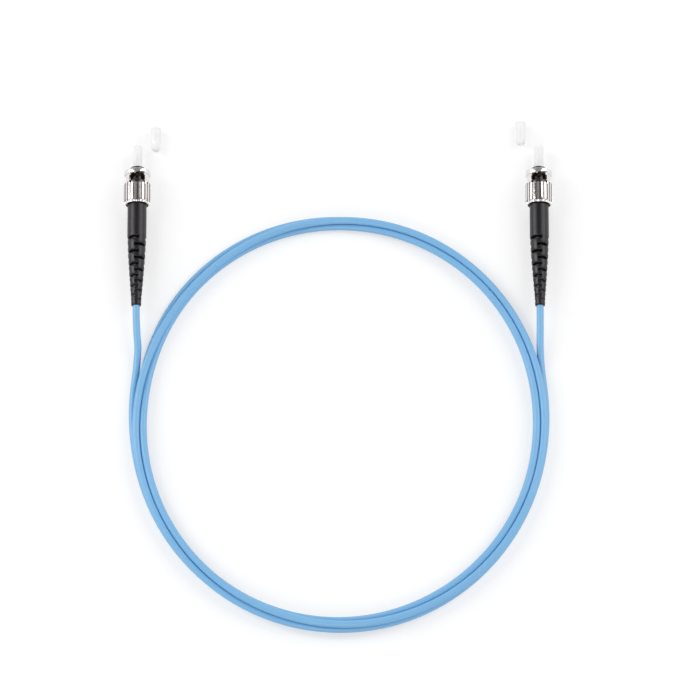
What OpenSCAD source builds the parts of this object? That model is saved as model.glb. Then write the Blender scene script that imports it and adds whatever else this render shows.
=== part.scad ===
// A bayonet fibre-optic patch cord, lying flat, in millimetres.
// Two identical plug assemblies lie along +Y with their ferrules forward, and a
// round cord is wound behind them. Ground is z = 0.
// Inside an assembly, t is measured along its axis from the rear face of the
// coupling nut, positive towards the ferrule.

/* [Layout] */
// Distance between the two plug axes
plug_spacing = 134.6; // [100:0.2:200]
// Position of the nut's rear face along Y
nut_rear_y = 2.55; // [-10:0.1:20]

/* [Ferrule and fibre] */
// Diameter of the ferrule
ferrule_d = 2.5; // [1.25:0.05:2.6]
// Length of ferrule that stands out of the barrel
ferrule_out = 4.9; // [4:0.1:6]
// Depth of the pocket that holds the ferrule
ferrule_seat = 5.2; // [4:0.1:5.4]
// Length of the chamfer at the ferrule's tip
ferrule_chamfer = 0.4; // [0.1:0.05:0.8]
// Bore that centres the bare fibre in the ferrule
capillary_d = 0.13; // [0.13:0.01:0.2]
// Diameter of the bare fibre
glass_d = 0.125; // [0.1:0.005:0.128]
// Diameter of the buffered fibre
buffer_d = 0.9; // [0.5:0.05:0.95]

/* [Coupling nut] */
// Length of the nut
nut_l = 12; // [11:0.1:13]
// Outside diameter over the fluted grip
grip_d = 9; // [8.8:0.1:12]
// Length of the fluted grip
grip_l = 7.5; // [5:0.1:8.5]
// Number of flutes round the grip
flute_count = 22; // [12:1:30]
// Radius of one flute's cutter
flute_r = 0.32; // [0.2:0.02:0.45]
// Depth of the flutes
flute_depth = 0.44; // [0.1:0.02:0.5]
// Diameter of the front flange
flange_d = 8.9; // [8.7:0.1:12]
// Length of the front flange
flange_l = 1.6; // [1:0.1:3]
// Diameter of the neck between flange and grip
neck_d = 7.84; // [7.7:0.02:8.6]
// Bore that takes the bayonet barrel of a socket
nut_bore_d = 7.2; // [7:0.05:7.4]
// Depth of the recess in the nut's rear face
recess_l = 2; // [1.6:0.1:3]
// Diameter of the recess in the nut's rear face
recess_d = 7.5; // [7:0.1:8]
// Thickness of the inner collar that the spring drives
collar_l = 1; // [0.6:0.1:1.6]
// Width of a bayonet window
window_w = 5.3; // [4:0.1:5.6]
// How far a window reaches back into the grip
window_back = 0.65; // [0.1:0.05:1.2]
// Rise of a window's front edge, from the locked end to the open end
window_rise = 0.85; // [0.3:0.05:1]
// Depth of the notch that holds a lug
lug_notch = 0.3; // [0.1:0.05:0.4]
// Diameter that a socket's lugs reach
lug_reach_d = 8.3; // [8:0.05:8.5]
// Width of the slot that lets a lug in
lug_slot_w = 1.9; // [1.2:0.1:2.2]

/* [Barrel] */
// Length of the front tube that stands out of the nut
front_out = 1.4; // [0.5:0.1:2]
// Diameter of the barrel's front tube
front_d = 4.7; // [4:0.1:5]
// Diameter of the flange that the spring pushes on
seat_d = 6.7; // [6:0.1:7]
// Thickness of the flange that the spring pushes on
seat_l = 1.1; // [0.6:0.1:1.6]
// Diameter of the stem that the nut slides on
stem_d = 4.4; // [4:0.1:4.6]
// Diameter of the stem that the yarn is crimped on
crimp_stem_d = 3.1; // [2.6:0.1:3.4]
// Length of the stem that the yarn is crimped on
crimp_stem_l = 6.2; // [4:0.1:8]
// Bore for the buffered fibre
fibre_bore_d = 1; // [0.96:0.02:1.4]
// Width of the alignment key
key_w = 1; // [0.6:0.1:1.4]
// Height that the key reaches from the axis
key_reach = 3.1; // [2.8:0.1:3.4]
// Length of the alignment key
key_l = 1.4; // [0.8:0.1:2]
// Distance of the alignment key behind the front tube's end
key_back = 2.5; // [0.5:0.1:2.6]

/* [Spring, washer and clip] */
// Wire of the coupling spring
wire_d = 0.45; // [0.3:0.05:0.5]
// Mean diameter of the coupling spring
spring_d = 5.6; // [5.4:0.05:5.8]
// Turns of the coupling spring
spring_turns = 3.5; // [2:0.5:5]
// Thickness of the slip washer
washer_l = 0.3; // [0.2:0.05:0.6]
// Thickness of the retaining clip
clip_l = 0.5; // [0.3:0.05:0.8]
// Outside diameter of the retaining clip
clip_d = 5.6; // [5.2:0.1:6]
// Depth of the groove that holds the clip
clip_groove = 0.3; // [0.15:0.05:0.5]
// Opening of the clip, in degrees
clip_gap = 70; // [40:5:110]

/* [Crimp] */
// Wall of the crimp sleeve
sleeve_wall = 0.45; // [0.3:0.05:0.6]
// Thickness of the yarn layer under the sleeve
yarn_t = 0.25; // [0.15:0.05:0.4]
// Length of the sleeve's narrow tail
sleeve_tail_l = 4.5; // [3:0.1:6]

/* [Boot] */
// Diameter of the boot's smooth part
boot_d = 6.4; // [6:0.1:6.8]
// Length of the smooth part behind the nut
boot_smooth_l = 11.6; // [10:0.1:16]
// Length of the boot that reaches into the nut
boot_front_l = 0.8; // [0.4:0.1:1]
// Length of the boot behind the nut
boot_l = 35.9; // [34:0.1:44]
// Diameter of the boot's tail
boot_tail_d = 3.4; // [3.3:0.1:4.4]
// Diameter where the ribs start
boot_rib_d = 6.25; // [5.6:0.05:6.4]
// Number of slotted levels
slot_count = 12; // [6:1:12]
// Each distance between levels as a share of the one before
slot_ratio = 0.95; // [0.94:0.005:0.97]
// Length of the boot behind the last level
slot_margin = 1.7; // [1.4:0.1:3]
// Height of the first slots
slot_h = 0.9; // [0.5:0.05:1.1]
// Arc of one slot, in degrees
slot_arc = 120; // [90:5:130]

/* [Dust caps] */
// Outside diameter of a dust cap
cap_d = 3.25; // [3:0.05:4]
// Length of a dust cap
cap_l = 8; // [7.4:0.1:11]
// Depth of a dust cap's bore
cap_bore_l = 6.8; // [5.2:0.1:7]
// Diameter of the lip at the cap's mouth
cap_lip_d = 3.5; // [3.3:0.05:4.2]

/* [Cord] */
// Diameter of the cord
cord_d = 2.4; // [1.6:0.1:3]

/* [Clearances] */
// Radial clearance of the nut on the stem
running_gap = 0.08; // [0.03:0.01:0.1]
// Radial clearance of a cap on its ferrule
cap_gap = 0.02; // [0.01:0.01:0.05]
// Gap between faces that slide or turn on each other
face_gap = 0.03; // [0.02:0.01:0.1]
// Radial clearance round pieces that are pushed together by hand
assembly_gap = 0.05; // [0.02:0.01:0.1]

/* [Hidden] */

$fn = 64;
overcut = 0.5;
axis_z = grip_d / 2;

// Stations along the axis, from the back to the front.
collar_t = recess_l;
washer_t = collar_t + collar_l + face_gap;
spring_t = washer_t + washer_l;
barrel_front_t = nut_l + front_out;
seat_t = barrel_front_t - ferrule_seat - seat_l;
clip_t = collar_t - 2 * face_gap - clip_l;
stem_rear_t = -2.4;
crimp_rear_t = stem_rear_t - crimp_stem_l;
tube_front_t = crimp_rear_t - 1.2;
sleeve_rear_t = tube_front_t - sleeve_tail_l;
sleeve_front_t = stem_rear_t - assembly_gap;
ferrule_rear_t = barrel_front_t - ferrule_seat;
tip_t = barrel_front_t + ferrule_out;
cap_mouth_t = barrel_front_t + 0.1;

// Radii that follow from the pieces inside.
yarn_r = crimp_stem_d / 2 + yarn_t;
sleeve_r = yarn_r + sleeve_wall;
tail_r = cord_d / 2 + sleeve_wall;
nut_hole_r = stem_d / 2 + running_gap;
cap_bore_r = ferrule_d / 2 + cap_gap;
boot_bore_r = sleeve_r + assembly_gap;
boot_tail_bore_r = tail_r + assembly_gap;
boot_cord_r = cord_d / 2 + assembly_gap;

// The cord's lead from each boot to the coil, as shares: of the way back, of the
// shift sideways and of the drop.
lead_route = [
    [0, 0, 0], [0.12, 0, 0.03], [0.24, 0, 0.15], [0.37, 0, 0.33], [0.5, 0, 0.55],
    [0.62, 0.1, 0.75], [0.75, 0.3, 0.9], [0.88, 0.6, 0.97], [1, 1, 1],
];
boot_mouth_y = nut_rear_y - boot_l;
lead_sides = 8;

// The coil: four arcs that meet with one tangent, 45 degrees from the axes.
coil_centre = [0.3, -73.65];
join_y = coil_centre[1] + 8.65;
coil_half_x = 66.7;
coil_half_y = 71;
coil_w = 5.2;
coil_h = 5.3;
coil_corner_r = 1.2;
arc_shift = (coil_half_y - coil_half_x) / (2 - sqrt(2));
end_arc_r = coil_half_y - arc_shift;
side_arc_r = coil_half_x + arc_shift;

// Loose caps: offset from the plug axis, and Y of the open mouth.
loose_a = [6, 31.05];
loose_b = [-5.95, 33.35];
flute_turn = 2.5;

// A frame whose +Z runs forward along one plug's axis; its -Y is up.
module on_plug(side) {
    translate([side * plug_spacing / 2, nut_rear_y, axis_z])
        rotate([-90, 0, 0])
            children();
}

// A ring, as a tube from one station to another.
module ring(outer_r, inner_r, from_t, to_t) {
    translate([0, 0, from_t])
        difference() {
            cylinder(r = outer_r, h = to_t - from_t);
            translate([0, 0, -overcut])
                cylinder(r = inner_r, h = to_t - from_t + 2 * overcut);
        }
}

// A body of revolution from [radius, station] points.
module turned(points) {
    rotate_extrude()
        polygon(points);
}

// A slice of a ring, centred on an angle.
module sector(outer_r, inner_r, arc, centre, from_t, to_t) {
    rotate([0, 0, centre - arc / 2])
        rotate_extrude(angle = arc)
            translate([inner_r, from_t])
                square([outer_r - inner_r, to_t - from_t]);
}

// Zirconia rod with a chamfered tip, a capillary and a funnel for the fibre.
module ferrule(side) {
    funnel_l = 0.8;
    color("white")
        on_plug(side)
            turned([
                [capillary_d / 2, tip_t],
                [ferrule_d / 2 - ferrule_chamfer * 0.75, tip_t],
                [ferrule_d / 2, tip_t - ferrule_chamfer],
                [ferrule_d / 2, ferrule_rear_t],
                [fibre_bore_d / 2, ferrule_rear_t],
                [capillary_d / 2, ferrule_rear_t + funnel_l],
            ]);
}

// Buffered fibre, with bare glass from the ferrule's funnel to its tip.
module fibre(side) {
    color("ivory")
        on_plug(side)
            turned([
                [0, -boot_l],
                [buffer_d / 2, -boot_l],
                [buffer_d / 2, ferrule_rear_t - face_gap],
                [glass_d / 2, ferrule_rear_t - face_gap],
                [glass_d / 2, tip_t],
                [0, tip_t],
            ]);
}

// Turned barrel: front tube and key, spring seat, sliding stem, crimp stem.
module barrel(side) {
    edge = 0.25;
    groove_r = stem_d / 2 - clip_groove;
    rib_pitch = crimp_stem_l / 6;
    color("lightgrey")
        on_plug(side)
            difference() {
                union() {
                    turned([
                        [0, barrel_front_t],
                        [front_d / 2 - edge, barrel_front_t],
                        [front_d / 2, barrel_front_t - edge],
                        [front_d / 2, seat_t + seat_l],
                        [seat_d / 2, seat_t + seat_l],
                        [seat_d / 2, seat_t],
                        [stem_d / 2, seat_t],
                        [stem_d / 2, clip_t + clip_l],
                        [groove_r, clip_t + clip_l],
                        [groove_r, clip_t],
                        [stem_d / 2, clip_t],
                        [stem_d / 2, stem_rear_t],
                        [crimp_stem_d / 2, stem_rear_t],
                        [crimp_stem_d / 2, crimp_rear_t],
                        [0, crimp_rear_t],
                    ]);
                    translate([-key_w / 2, -key_reach, barrel_front_t - key_back - key_l])
                        cube([key_w, key_reach - front_d / 4, key_l]);
                }
                translate([0, 0, ferrule_rear_t])
                    cylinder(d = ferrule_d, h = ferrule_seat + overcut);
                translate([0, 0, crimp_rear_t - overcut])
                    cylinder(d = fibre_bore_d, h = ferrule_rear_t - crimp_rear_t + 2 * overcut);
                for (i = [1:5])
                    ring(crimp_stem_d, crimp_stem_d / 2 - 0.1,
                         crimp_rear_t + i * rib_pitch - 0.15, crimp_rear_t + i * rib_pitch + 0.15);
            }
}

// Outside of the nut: fluted grip with chamfered ends, neck and front flange.
module nut_outside() {
    edge = 0.35;
    difference() {
        turned([
            [0, 0],
            [grip_d / 2 - 0.5, 0],
            [grip_d / 2 - 0.15, 0.5],
            [grip_d / 2, 1.2],
            [grip_d / 2, grip_l - edge],
            [grip_d / 2 - edge, grip_l],
            [neck_d / 2, grip_l],
            [neck_d / 2, nut_l - flange_l],
            [flange_d / 2 - edge, nut_l - flange_l],
            [flange_d / 2, nut_l - flange_l + edge],
            [flange_d / 2, nut_l - edge],
            [flange_d / 2 - edge, nut_l],
            [0, nut_l],
        ]);
        for (i = [0:flute_count - 1])
            rotate([0, 0, i * 360 / flute_count - 90 + flute_turn])
                translate([grip_d / 2 - flute_depth + flute_r, 0, -overcut])
                    cylinder(r = flute_r, h = grip_l + overcut, $fn = 24);
    }
}

// One bayonet way: a window that is milled straight in, with a rising front
// edge and a notch at its locked end, and a lug slot through the flange's bore.
module bayonet_way() {
    half_w = window_w / 2;
    back_t = grip_l - window_back;
    low_t = nut_l - flange_l - 0.35;
    rotate([90, 0, 90])
        translate([0, 0, neck_d / 4])
            linear_extrude(height = grip_d)
                polygon([
                    [-half_w, back_t],
                    [half_w, back_t],
                    [half_w, low_t + window_rise],
                    [-0.2, low_t + window_rise / 2],
                    [-0.9, low_t],
                    [-0.9, low_t + lug_notch],
                    [-half_w, low_t + lug_notch],
                ]);
    rotate([0, 0, 25])
        translate([0, -lug_slot_w / 2, low_t + 0.2])
            cube([lug_reach_d / 2, lug_slot_w, nut_l]);
}

// Coupling nut: fluted bayonet nut, bored for a socket, with an inner collar.
module coupling_nut(side) {
    bore_t = collar_t + collar_l;
    color("silver")
        on_plug(side)
            difference() {
                nut_outside();
                translate([0, 0, bore_t])
                    cylinder(d = nut_bore_d, h = nut_l);
                translate([0, 0, -overcut])
                    cylinder(d = recess_d, h = recess_l + overcut);
                cylinder(r = nut_hole_r, h = nut_l);
                for (turn = [-90, 90])
                    rotate([0, 0, turn])
                        bayonet_way();
            }
}

// A wire along a helix, from its rings of points.
function helix_ring(step, steps, sides, r, wire_r, length, turns) =
    let (a = 360 * turns * step / steps)
    [for (k = [0:sides - 1])
        let (b = 360 * k / sides, rr = r + wire_r * cos(b))
        [rr * cos(a), rr * sin(a), wire_r + (length - 2 * wire_r) * step / steps + wire_r * sin(b)]];

function tube_faces(rings, sides) = concat(
    [[for (k = [0:sides - 1]) k]],
    [for (i = [0:rings - 2]) for (k = [0:sides - 1])
        let (n = (k + 1) % sides)
        [i * sides + k, (i + 1) * sides + k, (i + 1) * sides + n, i * sides + n]],
    [[for (k = [sides - 1:-1:0]) (rings - 1) * sides + k]]
);

// Compression spring between the barrel's seat and the slip washer.
module coupling_spring(side) {
    sides = 6;
    steps = round(14 * spring_turns);
    length = seat_t - spring_t - 2 * face_gap;
    color("dimgrey")
        on_plug(side)
            translate([0, 0, spring_t + face_gap])
                polyhedron(
                    [for (i = [0:steps])
                        each helix_ring(i, steps, sides, spring_d / 2, wire_d / 2, length, spring_turns)],
                    tube_faces(steps + 1, sides));
}

// Washer that the nut turns against while the spring stands still.
module slip_washer(side) {
    color("goldenrod")
        on_plug(side)
            ring(nut_bore_d / 2 - 0.2, nut_hole_r, washer_t, washer_t + washer_l);
}

// Open clip in the stem's groove, which stops the nut's collar.
module retaining_clip(side) {
    color("grey")
        on_plug(side)
            sector(clip_d / 2, stem_d / 2 - clip_groove, 360 - clip_gap, 90, clip_t, clip_t + clip_l);
}

// Crimped sleeve: a wide part over the yarn, a cone and a tail on the tube.
module crimp_sleeve(side) {
    color("silver")
        on_plug(side)
            turned([
                [yarn_r, sleeve_front_t],
                [sleeve_r, sleeve_front_t],
                [sleeve_r, crimp_rear_t],
                [tail_r, tube_front_t],
                [tail_r, sleeve_rear_t],
                [cord_d / 2, sleeve_rear_t],
                [cord_d / 2, tube_front_t],
                [yarn_r, crimp_rear_t],
            ]);
}

// Layer of strength yarn, laid forward over the stem and held by the sleeve.
module aramid_yarn(side) {
    color("khaki")
        on_plug(side)
            turned([
                [crimp_stem_d / 2, sleeve_front_t],
                [yarn_r, sleeve_front_t],
                [yarn_r, crimp_rear_t],
                [cord_d / 2, tube_front_t],
                [fibre_bore_d / 2, tube_front_t],
                [crimp_stem_d / 2, crimp_rear_t],
            ]);
}

// End of the cord's jacket inside the boot, from the crimp to the boot's mouth.
module jacket_end(side) {
    color([0.45, 0.70, 0.90])
        on_plug(side)
            ring(cord_d / 2, fibre_bore_d / 2, -boot_l, tube_front_t);
}

// Station of a slotted level, counted from the front.
function slot_t(i) =
    let (first = -boot_smooth_l - 0.6, last = -boot_l + slot_margin)
    first + (last - first) * (1 - pow(slot_ratio, i)) / (1 - pow(slot_ratio, slot_count - 1));

// Strain relief boot: a smooth sleeve and a tapering row of slotted ribs.
module boot(side) {
    edge = 0.3;
    color([0.13, 0.12, 0.13])
        on_plug(side)
            difference() {
                turned([
                    [boot_bore_r, boot_front_l],
                    [boot_d / 2 - edge, boot_front_l],
                    [boot_d / 2, boot_front_l - edge],
                    [boot_d / 2, -boot_smooth_l],
                    [boot_rib_d / 2, -boot_smooth_l - 0.5],
                    [boot_rib_d * 0.42 + boot_tail_d * 0.08, -boot_smooth_l * 0.73 - boot_l * 0.27],
                    [boot_rib_d * 0.27 + boot_tail_d * 0.23, -boot_smooth_l * 0.48 - boot_l * 0.52],
                    [boot_tail_d / 2, -boot_l + edge],
                    [boot_tail_d / 2 - edge / 2, -boot_l],
                    [boot_cord_r, -boot_l],
                    [boot_cord_r, sleeve_rear_t - assembly_gap],
                    [boot_tail_bore_r, sleeve_rear_t - assembly_gap],
                    [boot_tail_bore_r, tube_front_t],
                    [boot_bore_r, crimp_rear_t],
                ]);
                for (i = [0:slot_count - 1])
                    for (turn = [0, 180]) {
                        h = slot_h * pow(slot_ratio, i / 2);
                        sector(boot_d, 0.4, slot_arc, (i % 2 == 0 ? -135 : -45) + turn,
                               slot_t(i) - h / 2, slot_t(i) + h / 2);
                    }
            }
}

// A dust cap, mouth at the origin, its round end towards +Z.
module cap_shape() {
    dome = 1.2;
    lip_l = 0.7;
    difference() {
        rotate_extrude() {
            square([cap_d / 2, cap_l - dome]);
            square([cap_lip_d / 2, lip_l]);
            square([cap_d / 2 - dome, cap_l]);
            intersection() {
                translate([cap_d / 2 - dome, cap_l - dome])
                    circle(r = dome);
                square([cap_d, cap_l]);
            }
        }
        translate([0, 0, -overcut])
            cylinder(r = cap_bore_r, h = cap_bore_l + overcut);
    }
}

// Dust cap pushed onto the ferrule.
module dust_cap(side) {
    color("whitesmoke")
        on_plug(side)
            translate([0, 0, cap_mouth_t])
                cap_shape();
}

// Dust cap lying beside the plug, with its mouth forward.
module loose_cap(side, place) {
    color("whitesmoke")
        translate([side * plug_spacing / 2 + place[0], place[1], cap_lip_d / 2])
            rotate([90, 0, 0])
                cap_shape();
}

// Points of one ring round the lead's route: an octagon across its direction.
function lead_point(side, i) =
    let (p = lead_route[i], from_x = side * plug_spacing / 2,
         to_x = coil_centre[0] + side * (coil_half_x + cord_d / 4))
    [from_x + p[1] * (to_x - from_x), boot_mouth_y + p[0] * (join_y - boot_mouth_y),
     axis_z + p[2] * (cord_d / 2 - axis_z)];

function lead_dir(side, i) =
    let (last = len(lead_route) - 1,
         d = lead_point(side, min(i + 1, last)) - lead_point(side, max(i - 1, 0)))
    i == 0 ? [0, -1, 0] : d / norm(d);

function lead_ring(side, i) =
    let (p = lead_point(side, i), d = lead_dir(side, i), u = cross(d, [0, 0, 1]) / norm(cross(d, [0, 0, 1])),
         v = cross(u, d))
    [for (k = [0:lead_sides - 1])
        let (a = 360 * (k + 0.5) / lead_sides) p + cord_d / 2 * (cos(a) * u + sin(a) * v)];

// Cord from the boot's mouth down to the coil.
module lead(side) {
    color([0.45, 0.70, 0.90])
        polyhedron(
            [for (i = [0:len(lead_route) - 1]) each lead_ring(side, i)],
            tube_faces(len(lead_route), lead_sides));
}

// Outline of the bundle of turns, flat on the ground.
module bundle_section() {
    r = coil_corner_r;
    translate([-coil_w / 2, r])
        square([coil_w, coil_h - 2 * r]);
    translate([-coil_w / 2 + r, 0])
        square([coil_w - 2 * r, coil_h]);
    for (x = [-1, 1], y = [r, coil_h - r])
        translate([x * (coil_w / 2 - r), y])
            circle(r = r, $fn = 24);
}

module coil_arc(radius, shift, start) {
    translate([shift[0], shift[1], 0])
        rotate([0, 0, start])
            rotate_extrude(angle = 90)
                translate([radius, 0])
                    bundle_section();
}

// The bundle of turns as one solid.
module coil() {
    color([0.45, 0.70, 0.90])
        translate([coil_centre[0], coil_centre[1], 0]) {
            coil_arc(end_arc_r, [0, arc_shift], 45);
            coil_arc(side_arc_r, [arc_shift, 0], 135);
            coil_arc(end_arc_r, [0, -arc_shift], 225);
            coil_arc(side_arc_r, [-arc_shift, 0], 315);
        }
}

ferrule(-1);  // ferrule_a
fibre(-1);  // fibre_a
barrel(-1);  // barrel_a
coupling_nut(-1);  // coupling_nut_a
coupling_spring(-1);  // coupling_spring_a
slip_washer(-1);  // slip_washer_a
retaining_clip(-1);  // retaining_clip_a
crimp_sleeve(-1);  // crimp_sleeve_a
aramid_yarn(-1);  // aramid_yarn_a
jacket_end(-1);  // jacket_end_a
boot(-1);  // boot_a
dust_cap(-1);  // dust_cap_a
loose_cap(-1, loose_a);  // loose_cap_a
ferrule(1);  // ferrule_b
fibre(1);  // fibre_b
barrel(1);  // barrel_b
coupling_nut(1);  // coupling_nut_b
coupling_spring(1);  // coupling_spring_b
slip_washer(1);  // slip_washer_b
retaining_clip(1);  // retaining_clip_b
crimp_sleeve(1);  // crimp_sleeve_b
aramid_yarn(1);  // aramid_yarn_b
jacket_end(1);  // jacket_end_b
boot(1);  // boot_b
dust_cap(1);  // dust_cap_b
loose_cap(1, loose_b);  // loose_cap_b
lead(-1);  // lead_a
lead(1);  // lead_b
coil();
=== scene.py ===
"""Dresses a fibre patch cord with a bayonet plug at each end, lying on a white ground.

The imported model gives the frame. Every length is written in millimetres and turned
into metres where a mesh is made. Inside a plug, t runs along its axis from the rear
face of the coupling nut, positive towards the ferrule.
"""

from __future__ import annotations

import logging
import math
from dataclasses import dataclass, field
from enum import Enum
from typing import Callable, Sequence

import bmesh
import bpy
import numpy as np
from mathutils import Matrix, Vector

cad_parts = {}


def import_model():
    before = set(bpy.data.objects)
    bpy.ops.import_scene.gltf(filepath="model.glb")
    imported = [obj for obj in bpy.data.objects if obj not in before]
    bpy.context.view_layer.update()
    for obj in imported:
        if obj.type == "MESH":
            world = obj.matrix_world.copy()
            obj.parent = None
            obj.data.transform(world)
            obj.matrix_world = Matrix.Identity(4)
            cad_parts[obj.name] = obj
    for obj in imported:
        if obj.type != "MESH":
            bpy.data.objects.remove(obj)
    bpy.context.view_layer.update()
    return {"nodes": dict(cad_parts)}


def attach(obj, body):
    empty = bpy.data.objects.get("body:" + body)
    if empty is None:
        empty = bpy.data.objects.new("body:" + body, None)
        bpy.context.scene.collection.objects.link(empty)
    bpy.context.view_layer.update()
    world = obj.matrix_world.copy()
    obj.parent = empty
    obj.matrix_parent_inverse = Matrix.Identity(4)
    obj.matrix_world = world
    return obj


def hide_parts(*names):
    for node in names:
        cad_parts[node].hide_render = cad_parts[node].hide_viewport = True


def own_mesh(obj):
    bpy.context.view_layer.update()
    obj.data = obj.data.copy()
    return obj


LOG = logging.getLogger("patch_cord")
MM = 0.001
Point2 = tuple[float, float]
Colour = tuple[float, float, float]


# --------------------------------------------------------------------------- layout


class Side(Enum):
    """The two ends of the cord."""

    LEFT = -1
    RIGHT = 1

    @property
    def tag(self) -> str:
        """The letter that ends the names of this plug's nodes."""
        return "a" if self is Side.LEFT else "b"


@dataclass(frozen=True)
class Layout:
    """Where the plugs and the loose caps lie, in millimetres."""

    plug_x: float = 67.3
    nut_rear_y: float = 2.55
    axis_z: float = 4.5
    boot_length: float = 35.9
    loose_mouths: tuple[tuple[float, float], ...] = ((-61.3, 31.05), (61.35, 33.35))

    def plug_origin(self, side: Side) -> Vector:
        """The point on a plug's axis at its nut's rear face."""
        return Vector((side.value * self.plug_x, self.nut_rear_y, self.axis_z)) * MM

    def boot_mouth(self, side: Side) -> Vector:
        """The point where the cord comes out of a boot, in millimetres."""
        return Vector((side.value * self.plug_x, self.nut_rear_y - self.boot_length, self.axis_z))

    def loose_mouth(self, side: Side) -> Point2:
        """X and Y of the open end of the cap that lies beside a plug."""
        return self.loose_mouths[0 if side is Side.LEFT else 1]


LAYOUT = Layout()


# --------------------------------------------------------------------- mesh building


class Sweep:
    """Closed grids of points, turned into meshes."""

    @staticmethod
    def rounded(profile: Sequence[tuple[float, float, float]], steps: int = 3) -> list[Point2]:
        """Round the corners of a closed outline.

        Args:
            profile: corners as (t, radius from the axis, corner radius).
            steps: segments in each rounded corner.

        Returns:
            The outline's points as (t, radius from the axis).
        """
        out: list[Point2] = []
        count = len(profile)
        for i, (t, r, fillet) in enumerate(profile):
            here = np.array((t, r))
            before = np.array(profile[i - 1][:2]) - here
            after = np.array(profile[(i + 1) % count][:2]) - here
            reach = min(fillet, 0.45 * np.linalg.norm(before), 0.45 * np.linalg.norm(after))
            if reach < 1e-6:
                out.append((t, r))
                continue
            start = here + before / np.linalg.norm(before) * reach
            end = here + after / np.linalg.norm(after) * reach
            for k in range(steps + 1):
                s = k / steps
                p = (1 - s) ** 2 * start + 2 * s * (1 - s) * here + s**2 * end
                out.append((float(p[0]), float(p[1])))
        return out

    @staticmethod
    def grid_mesh(name: str, rings: np.ndarray, closed_rows: bool) -> bpy.types.Mesh:
        """Make a mesh from rings of points.

        Args:
            name: the mesh's name.
            rings: an array of rows, each a closed ring of points, in metres.
            closed_rows: True where the last row joins the first, else both are capped.

        Returns:
            The mesh, smooth shaded with its sharp edges marked.
        """
        rows, cols = rings.shape[:2]
        verts = [tuple(map(float, p)) for p in rings.reshape(-1, 3)]
        faces: list[tuple[int, ...]] = []
        for i in range(rows if closed_rows else rows - 1):
            j = (i + 1) % rows
            for k in range(cols):
                m = (k + 1) % cols
                faces.append((i * cols + k, i * cols + m, j * cols + m, j * cols + k))
        if not closed_rows:
            faces.append(tuple(range(cols - 1, -1, -1)))
            faces.append(tuple((rows - 1) * cols + k for k in range(cols)))
        mesh = bpy.data.meshes.new(name)
        mesh.from_pydata(verts, [], faces)
        Sweep.tidy(mesh)
        return mesh

    @staticmethod
    def tidy(mesh: bpy.types.Mesh, sharp_deg: float = 32.0) -> None:
        """Weld, point the faces outwards and shade smooth up to an angle."""
        bm = bmesh.new()
        bm.from_mesh(mesh)
        bmesh.ops.remove_doubles(bm, verts=bm.verts, dist=1e-7)
        bmesh.ops.dissolve_degenerate(bm, edges=bm.edges, dist=1e-7)
        bmesh.ops.recalc_face_normals(bm, faces=bm.faces)
        bm.to_mesh(mesh)
        bm.free()
        mesh.shade_smooth()
        mesh.set_sharp_from_angle(angle=math.radians(sharp_deg))
        mesh.update()

    @staticmethod
    def turned(name: str, outline: Sequence[Point2], segments: int) -> bpy.types.Mesh:
        """Turn a closed outline about the Y axis.

        Args:
            name: the mesh's name.
            outline: (t, radius) points in millimetres; a radius of 0 closes on the axis.
            segments: faces round the axis.

        Returns:
            The mesh, in metres about the origin.
        """
        angles = np.linspace(0, 2 * math.pi, segments, endpoint=False)
        return Sweep.shaped(name, outline, angles, lambda t, r, a: np.full_like(a, r))

    @staticmethod
    def shaped(
        name: str,
        outline: Sequence[Point2],
        angles: np.ndarray,
        radius_at: Callable[[float, float, np.ndarray], np.ndarray],
    ) -> bpy.types.Mesh:
        """Turn an outline about the Y axis, with a radius that may change round it.

        Args:
            name: the mesh's name.
            outline: (t, radius) points in millimetres.
            angles: the angles of the columns, from +X through up.
            radius_at: gives the radii of one ring from t, the outline's radius and the angles.

        Returns:
            The mesh, in metres about the origin.
        """
        rings = np.empty((len(outline), len(angles), 3))
        for i, (t, r) in enumerate(outline):
            radii = radius_at(t, r, angles)
            rings[i, :, 0] = radii * np.cos(angles)
            rings[i, :, 1] = t
            rings[i, :, 2] = radii * np.sin(angles)
        return Sweep.grid_mesh(name, rings * MM, closed_rows=True)

    @staticmethod
    def tube(name: str, path: np.ndarray, radius: float, sides: int) -> bpy.types.Mesh:
        """Sweep a round wire along a path.

        Args:
            name: the mesh's name.
            path: points of the wire's centre line in millimetres.
            radius: the wire's radius in millimetres.
            sides: faces round the wire.

        Returns:
            The mesh, in metres.
        """
        ahead = np.gradient(path, axis=0)
        ahead /= np.linalg.norm(ahead, axis=1)[:, None]
        across = np.cross(ahead, (0.0, 1.0, 0.0))
        across /= np.linalg.norm(across, axis=1)[:, None]
        up = np.cross(across, ahead)
        a = np.linspace(0, 2 * math.pi, sides, endpoint=False)
        offset = np.cos(a)[None, :, None] * across[:, None, :]
        offset = offset + np.sin(a)[None, :, None] * up[:, None, :]
        return Sweep.grid_mesh(name, (path[:, None, :] + radius * offset) * MM, closed_rows=False)


def place(
    mesh: bpy.types.Mesh,
    at: Vector,
    body: str,
    nodes: Sequence[str],
    materials: Sequence[bpy.types.Material],
) -> bpy.types.Object:
    """Put a finished mesh into the scene in place of its CAD nodes.

    Args:
        mesh: the mesh, in metres about its own origin.
        at: where that origin goes.
        body: the body that the piece moves with.
        nodes: the CAD nodes that it stands for.
        materials: the materials, in the order of the mesh's slots.

    Returns:
        The new object.
    """
    mesh.transform(Matrix.Translation(at))
    piece = bpy.data.objects.new(mesh.name, mesh)
    bpy.context.scene.collection.objects.link(piece)
    for material in materials:
        mesh.materials.append(material)
    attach(piece, body)
    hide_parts(*nodes)
    return piece


# -------------------------------------------------------------------------- finishes


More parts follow.
